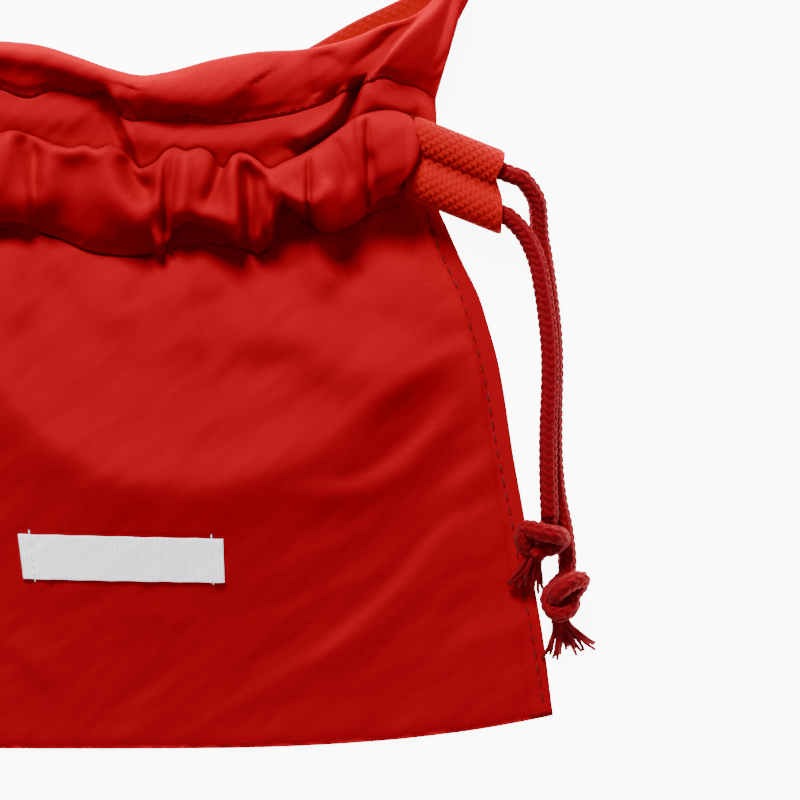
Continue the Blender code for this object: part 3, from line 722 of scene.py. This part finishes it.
def thread_run(name, line, pitch, dash, radius, finish, arch=0.25):
    """A row of stitches along a line of points, each a short bowed thread with tucked ends."""
    line = np.asarray(line, float)
    run = np.concatenate([[0], np.cumsum(np.linalg.norm(np.diff(line, axis=0), axis=1))])
    points, faces = [], []
    rings, sides = 7, 6
    for start in np.arange(0.2, run[-1] - dash, pitch):
        at = start + dash * np.linspace(0, 1, rings)
        core = np.column_stack([np.interp(at, run, line[:, k]) for k in range(3)])
        core[:, 2] += arch * np.sin(np.pi * np.linspace(0, 1, rings)) - arch * 0.4
        way, side, up = frames_along(core)
        thick = radius * (0.45 + 0.55 * np.sin(np.pi * np.linspace(0.08, 0.92, rings)))
        base = len(points)
        for k in range(rings):
            for s in range(sides):
                a = 2 * math.pi * s / sides
                points.append(core[k] + (side[k] * math.cos(a) + up[k] * math.sin(a)) * thick[k])
        faces += [[base + i for i in face] for face in grid_faces(rings, sides, close_columns=True)]
        faces.append([base + s for s in reversed(range(sides))])
        faces.append([base + (rings - 1) * sides + s for s in range(sides)])
    thing = finish_mesh(name, points, faces, finish)
    outward(thing)
    return thing


def seam_line():
    """The side seam's stitch line on the right, from the slider to the bottom corner."""
    v = np.linspace(0.985, 0.02, 90)
    half = reading(SIDE_EDGE, -81 + v * (56 + 81))
    share = np.interp(v, [0, 0.3, 0.75, 0.9, 1], [0.982, 0.972, 0.955, 0.953, 0.972])
    x = share * half
    low = bottom_line(share)
    y = low + (reading(STITCH_LINE, x) - low) * v
    z = front_height(share, x, y)
    return np.column_stack([x, y, z + 0.16])


def build_threads():
    seam = seam_line()
    right = thread_run("side_seam_thread_right", seam, 3.9, 3.0, 0.22, FINISHES["thread"])
    mirrored = seam * np.array([-1, 1, 1])
    left = thread_run("side_seam_thread_left", mirrored, 3.9, 3.0, 0.22, FINISHES["thread"])
    shares = np.linspace(-0.93, 0.93, 320)
    x = shares * 88.2
    y = reading(STITCH_LINE, x)
    z = front_height(shares, x, y)
    casing = thread_run("casing_thread_front", np.column_stack([x, y - 0.15, z + 0.2]), 2.6, 2.0, 0.16,
                        FINISHES["thread"])
    rows = back_rows(shares, 2, 2, 2, 24)
    hem = np.column_stack([rows[-2][0], rows[-2][1], rows[-2][2] + 0.12])
    back = thread_run("casing_thread_back", hem, 2.6, 2.0, 0.16, FINISHES["thread"])
    for thing in (right, left, casing, back):
        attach(thing, "pouch")


def build_cord(name, route, step, sides):
    return tube_mesh(name, smooth_route(route, step), braid_radius(CORD_D / 2), sides, FINISHES["cord"])


def build_held_cord():
    held = build_cord("held_cord", HELD_ROUTE, 0.6, 24)
    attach(held, "pouch")
    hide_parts("drawcord")


def frayed_end(name, root, aim, count, reach, spread, seed):
    """Loose yarns that fan out of the cord's cut end."""
    rng = np.random.default_rng(seed)
    aim = np.array(aim, float) / np.linalg.norm(aim)
    side = np.array([-aim[1], aim[0], 0])
    points, faces = [], []
    sides = 6
    for k in range(count):
        fan = (k / (count - 1) - 0.5) * 2
        start = np.array(root) + side * fan * 1.7 + np.array([0, 0, rng.uniform(-1.3, 1.3)])
        length = reach * rng.uniform(0.7, 1.1)
        drift = rng.uniform(-0.25, 0.25)
        line = []
        for t in np.linspace(0, 1, 9):
            out = start + aim * length * t + side * (fan * spread * t ** 1.4 + drift * length * t * t)
            out = out + side * 0.5 * math.sin(5 * t + k) * t
            floor = 0.7 if out[0] > 117 else 2.6
            out[2] = max(out[2] * (1 - 0.55 * t) + 0.8 * math.sin(4 * t + 2 * k) * t, floor)
            line.append(out)
        line = np.array(line)
        way, across, up = frames_along(line)
        thick = np.interp(np.linspace(0, 1, 9), [0, 0.6, 1], [0.6, 0.5, 0.36])
        base = len(points)
        for i in range(9):
            for s in range(sides):
                a = 2 * math.pi * s / sides
                points.append(line[i] + (across[i] * math.cos(a) + up[i] * math.sin(a)) * thick[i])
        faces += [[base + i for i in face] for face in grid_faces(9, sides, close_columns=True)]
        faces.append([base + s for s in reversed(range(sides))])
        faces.append([base + 8 * sides + s for s in range(sides)])
    thing = finish_mesh(name, points, faces, FINISHES["yarn"])
    outward(thing)
    return thing


def build_free_ends():
    plans = (
        ("front", FRONT_END, FRONT_KNOT, FRONT_LENGTH, -CHANNEL, (-0.3, -1, 0), 22, 8.6, 3.4, 7),
        ("back", BACK_END, BACK_KNOT, BACK_LENGTH, CHANNEL, (0.3, -1, 0), 28, 9.4, 5.6, 11),
    )
    for name, route, knot_route, length, across, aim, count, reach, spread, seed in plans:
        line = smooth_route(route, 0.3)
        cord = tube_mesh("free_cord_" + name, line, braid_radius(CORD_D / 2), 40, FINISHES["cord"])
        knot = tube_mesh("cord_knot_" + name, smooth_route(knot_route, 0.3), braid_radius(CORD_D / 2 - 0.05), 40,
                         FINISHES["cord"])
        fray = frayed_end("cord_fray_" + name, knot_route[-1], aim, count, reach, spread, seed)
        for thing in (knot, fray):
            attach(thing, "pouch")
        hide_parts("knot_" + name)
        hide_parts("cord_end_" + name)
        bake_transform(cord)


def bricks(along, around):
    """Relief of a firm webbing: broad floats round the loop, with a dark gap at each float's end."""
    row = np.floor(around / FLOAT_WIDTH)
    u = around / FLOAT_WIDTH % 1
    v = (along / FLOAT_PITCH + 0.5 * (row % 2)) % 1
    gap = np.exp(-((v - 0.5) / 0.10) ** 2) * np.sin(np.pi * u) ** 0.6
    seam = np.exp(-((np.abs(u - 0.5) - 0.5) / 0.12) ** 2) * 0.35
    yarns = 0.1 * np.sin(2 * np.pi * along / 0.54)
    return 1 - gap - seam + yarns


def build_slider():
    """A loop of webbing round two cords, pinched where it is stitched between them."""
    around, length_steps = 300, 150
    reach, high, valley = 10.65, 4.6, 2.5
    turn = np.linspace(0, 2 * math.pi, around, endpoint=False)
    spread = np.cos(turn)
    a = reach * spread
    bump = high * np.sqrt(np.clip(1 - ((np.abs(a) - CHANNEL) / 5.3) ** 2, 0, 1))
    waist = valley + 0.9 * (np.abs(a) / 3) ** 2
    half_height = np.where(np.abs(a) < CHANNEL, np.maximum(bump, np.minimum(waist, high)), bump)
    outline = np.stack([a, half_height * np.sign(np.sin(turn) + 1e-9)], -1)
    outline[np.abs(np.sin(turn)) < 1e-6, 1] = 0
    step = np.roll(outline, -1, 0) - np.roll(outline, 1, 0)
    normal = np.stack([step[:, 1], -step[:, 0]], -1)
    normal /= np.linalg.norm(normal, axis=1)[:, None]
    run = np.concatenate([[0], np.cumsum(np.linalg.norm(np.diff(outline, axis=0), axis=1))])
    rows = []
    wall = 1.5
    along_steps = np.linspace(-1, 1, length_steps)
    for share in along_steps:
        relief = 0.45 * bricks(share * SLIDER_HALF + 40, run) * np.clip((1 - abs(share)) * 12, 0.2, 1)
        rows.append((share, outline + normal * (relief - 0.45)[:, None]))
    for share in along_steps[::-13]:
        rows.append((share, outline - normal * wall))
    points = []
    for share, ring in rows:
        for across, up in ring:
            wave = -2.0 * math.exp(-((across - 3) / 3.2) ** 2) * max(share, 0) ** 6
            along = share * SLIDER_HALF - across * (0.24 + 0.05 * (share + 1)) + wave
            points.append(slider_point(along, across, SLIDER_Z + up))
    faces = grid_faces(len(rows), around, close_rows=True, close_columns=True)
    slider = finish_mesh("webbing_slider", points, faces, FINISHES["webbing"])
    outward(slider)
    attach(slider, "slider")
    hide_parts("cord_slider")


def build_strap():
    """The narrow carrying strap, a flat band with the same weave, lying behind the pouch."""
    route = STRAP_ROUTE + [(-x, y, z) for x, y, z in reversed(STRAP_ROUTE[:-1])]
    line = smooth_route(route, 0.55)
    way = np.gradient(line, axis=0)
    run = np.concatenate([[0], np.cumsum(np.linalg.norm(np.diff(line, axis=0), axis=1))])
    across = 92
    turn = np.linspace(0, 2 * math.pi, across, endpoint=False)
    squared = np.sign(np.cos(turn)) * np.abs(np.cos(turn)) ** 0.5
    lift = np.sign(np.sin(turn)) * np.abs(np.sin(turn)) ** 0.6
    points = []
    for centre, t, place in zip(line, way, run):
        side = np.array([-t[1], t[0], 0]) / math.hypot(t[0], t[1])
        relief = 0.45 * bricks(place, squared * STRAP_WIDTH / 2 + 20)
        for k in range(across):
            thick = (STRAP_THICK / 2 - 0.35 + relief[k]) * lift[k] if lift[k] > 0 else STRAP_THICK / 2 * lift[k]
            points.append(centre + side * squared[k] * (STRAP_WIDTH / 2 - 0.2) + np.array([0, 0, thick]))
    count = len(line)
    points = np.vstack([points, line[0], line[-1]])
    faces = grid_faces(count, across, close_columns=True)
    first, last, start = len(points) - 2, len(points) - 1, (count - 1) * across
    faces += [[first, (k + 1) % across, k] for k in range(across)]
    faces += [[last, start + k, start + (k + 1) % across] for k in range(across)]
    strap = finish_mesh("webbing_strap", points, faces, FINISHES["strap"])
    outward(strap)
    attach(strap, "pouch")
    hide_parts("carry_strap")


def label_point(u, v):
    a, b, c, d = (np.array(p) for p in LABEL_CORNERS)
    return (a * (1 - u) + b * u) * (1 - v) + (d * (1 - u) + c * u) * v


def cloth_height_at(x, y):
    """Height of the front panel at a point, found from its share of the half width."""
    low = -90.0
    v = np.clip((y - low) / (46 - low), 0, 1)
    half = reading(SIDE_EDGE, -81 + v * 137)
    share = x / half
    wild = crinkle(np.atleast_1d(x), np.atleast_1d(y), np.full(np.atleast_1d(x).shape, 8.0))
    return front_height(share, np.atleast_1d(x), np.atleast_1d(y)) + wild


def build_label():
    """White tape, its ends turned under and sewn down. Its face is bare."""
    columns, rows = 120, 30
    us, vs = np.meshgrid(np.linspace(0, 1, columns), np.linspace(0, 1, rows))
    place = np.array([label_point(u, v) for u, v in zip(us.ravel(), vs.ravel())])
    height = cloth_height_at(place[:, 0], place[:, 1])
    u, v = us.ravel(), vs.ravel()
    ends = np.exp(-((u - 0.02) / 0.03) ** 2) + np.exp(-((u - 0.98) / 0.03) ** 2)
    edge = 0.07 * np.sin(u * 37 + 1) * ((v < 0.02) | (v > 0.98))
    puff = 0.5 + 0.3 * ends + 0.12 * np.sin(np.pi * v)
    crease = 0.3 * np.exp(-((u - 0.05 - 0.085 * v) / 0.009) ** 2)
    sewn = -0.18 * (np.exp(-((u - 0.055) / 0.01) ** 2) + np.exp(-((u - 0.945) / 0.01) ** 2))
    points = np.column_stack([place[:, 0], place[:, 1] + edge, height + puff + crease + sewn])
    label = finish_mesh("label_tape", points, grid_faces(rows, columns), FINISHES["tape"])
    apply_modifier(label, "SOLIDIFY", thickness=0.4 * MM, offset=0)
    outward(label)
    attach(label, "pouch")
    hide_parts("label")
    for name, u in (("left", 0.055), ("right", 0.945)):
        line = []
        for v in np.linspace(-0.12, 1.12, 60):
            x, y = label_point(u, v)
            line.append((x, y, float(cloth_height_at(x, y)[0]) + (0.62 if 0 < v < 1 else 0.2)))
        thread = thread_run("label_thread_" + name, line, 1.9, 1.5, 0.2, FINISHES["white_thread"], 0.3)
        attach(thread, "pouch")


def build_label_fold():
    """The hem of the tape's folded end, which shows through as a slanting ridge."""
    line = []
    for v in np.linspace(0.02, 0.98, 40):
        x, y = label_point(0.05 + 0.085 * v, v)
        line.append((x, y, float(cloth_height_at(x, y)[0]) + 0.78))
    ridge = thread_run("label_fold", line, 20, 11.0, 0.24, FINISHES["white_thread"], 0.05)
    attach(ridge, "pouch")


def build_stage():
    select_none()
    bpy.ops.mesh.primitive_plane_add(size=4, location=(0.08, 0, 0))
    floor = bpy.context.active_object
    floor.name = "floor"
    finish, _, shader = new_material("white table")
    shader.inputs["Base Color"].default_value = (0.93, 0.93, 0.93, 1)
    shader.inputs["Roughness"].default_value = 0.9
    shader.inputs["Emission Color"].default_value = (1, 1, 1, 1)
    shader.inputs["Emission Strength"].default_value = FLOOR_GLOW
    floor.data.materials.append(finish)


def area_light(name, place, target, size, power):
    bpy.ops.object.light_add(type="AREA", location=place)
    light = bpy.context.active_object
    light.name = name
    light.data.shape = "DISK"
    light.data.size = size
    light.data.energy = power
    light.rotation_euler = (Vector(target) - Vector(place)).to_track_quat("-Z", "Y").to_euler()


def build_lights():
    world = bpy.data.worlds.new("soft studio")
    world.use_nodes = True
    world.node_tree.nodes["Background"].inputs["Color"].default_value = (1, 1, 1, 1)
    world.node_tree.nodes["Background"].inputs["Strength"].default_value = WORLD_STRENGTH
    bpy.context.scene.world = world
    area_light("key", KEY_PLACE, KEY_TARGET, KEY_SIZE, KEY_POWER)


def build_camera():
    data = bpy.data.cameras.new("camera")
    camera = bpy.data.objects.new("camera", data)
    bpy.context.scene.collection.objects.link(camera)
    data.lens = 200
    data.clip_end = 10
    far = VIEW_WIDTH * MM * data.lens / data.sensor_width
    camera.location = (*VIEW_MIDDLE, VIEW_LEVEL + far)
    bpy.context.scene.camera = camera


# the add-on

class KinchakuLook(bpy.types.PropertyGroup):
    """The colours that a user would change."""

    cloth_colour: FloatVectorProperty(name="Cloth", description="Colour of the nylon cloth", subtype="COLOR",
                                      default=(0.275, 0.0016, 0.007))
    webbing_colour: FloatVectorProperty(name="Slider", description="Colour of the slider's webbing",
                                        subtype="COLOR", default=(0.34, 0.003, 0.0045))
    strap_colour: FloatVectorProperty(name="Strap", description="Colour of the carrying strap",
                                      subtype="COLOR", default=(0.30, 0.002, 0.003))
    cord_colour: FloatVectorProperty(name="Cord", description="Colour of the drawcord", subtype="COLOR",
                                     default=(0.17, 0.002, 0.0055))
    thread_colour: FloatVectorProperty(name="Thread", description="Colour of the sewing thread",
                                       subtype="COLOR", default=(0.10, 0.001, 0.002))
    tape_colour: FloatVectorProperty(name="Tape", description="Colour of the label tape", subtype="COLOR",
                                     default=(0.88, 0.87, 0.93))


class Builder:
    """Shared options of the pouch's operators."""

    bl_options = {"REGISTER", "UNDO"}


class KINCHAKU_OT_finishes(Builder, bpy.types.Operator):
    """Make the cloth, cord, webbing and tape finishes"""

    bl_idname = "kinchaku.finishes"
    bl_label = "Finishes"

    def execute(self, context):
        make_finishes(context.scene.kinchaku_look)
        return {"FINISHED"}


class KINCHAKU_OT_cords(Builder, bpy.types.Operator):
    """Braid the drawcord with its two free ends, knots and frayed tips"""

    bl_idname = "kinchaku.cords"
    bl_label = "Drawcord"

    def execute(self, context):
        build_held_cord()
        build_free_ends()
        return {"FINISHED"}


class KINCHAKU_OT_cloth(Builder, bpy.types.Operator):
    """Lay out the pouch's one folded cloth with its casings and stitching"""

    bl_idname = "kinchaku.cloth"
    bl_label = "Cloth and stitching"

    def execute(self, context):
        build_cloth()
        build_threads()
        return {"FINISHED"}


class KINCHAKU_OT_trims(Builder, bpy.types.Operator):
    """Make the webbing slider, the carrying strap and the label"""

    bl_idname = "kinchaku.trims"
    bl_label = "Slider, strap and label"

    def execute(self, context):
        build_slider()
        build_strap()
        build_label()
        build_label_fold()
        return {"FINISHED"}


class KINCHAKU_OT_stage(Builder, bpy.types.Operator):
    """Set the floor, the lights and the camera"""

    bl_idname = "kinchaku.stage"
    bl_label = "Stage"

    def execute(self, context):
        build_camera()
        build_stage()
        build_lights()
        return {"FINISHED"}


class KINCHAKU_PT_panel(bpy.types.Panel):
    """Lists the pouch's colours and build steps"""

    bl_label = "Kinchaku pouch"
    bl_idname = "KINCHAKU_PT_panel"
    bl_space_type = "VIEW_3D"
    bl_region_type = "UI"
    bl_category = "Kinchaku"

    def draw(self, context):
        look = context.scene.kinchaku_look
        for name in KinchakuLook.__annotations__:
            self.layout.prop(look, name)
        for step in STEPS:
            self.layout.operator(step.bl_idname)


STEPS = (KINCHAKU_OT_stage, KINCHAKU_OT_finishes, KINCHAKU_OT_cords, KINCHAKU_OT_cloth, KINCHAKU_OT_trims)
CLASSES = (KinchakuLook, *STEPS, KINCHAKU_PT_panel)


def register():
    for each in CLASSES:
        bpy.utils.register_class(each)
    bpy.types.Scene.kinchaku_look = PointerProperty(type=KinchakuLook)


def unregister():
    del bpy.types.Scene.kinchaku_look
    for each in reversed(CLASSES):
        bpy.utils.unregister_class(each)


def main():
    register()
    bpy.ops.kinchaku.stage()
    bpy.ops.kinchaku.finishes()
    bpy.ops.kinchaku.cords()
    bpy.ops.kinchaku.cloth()
    bpy.ops.kinchaku.trims()


if __name__ == "__main__":
    main()
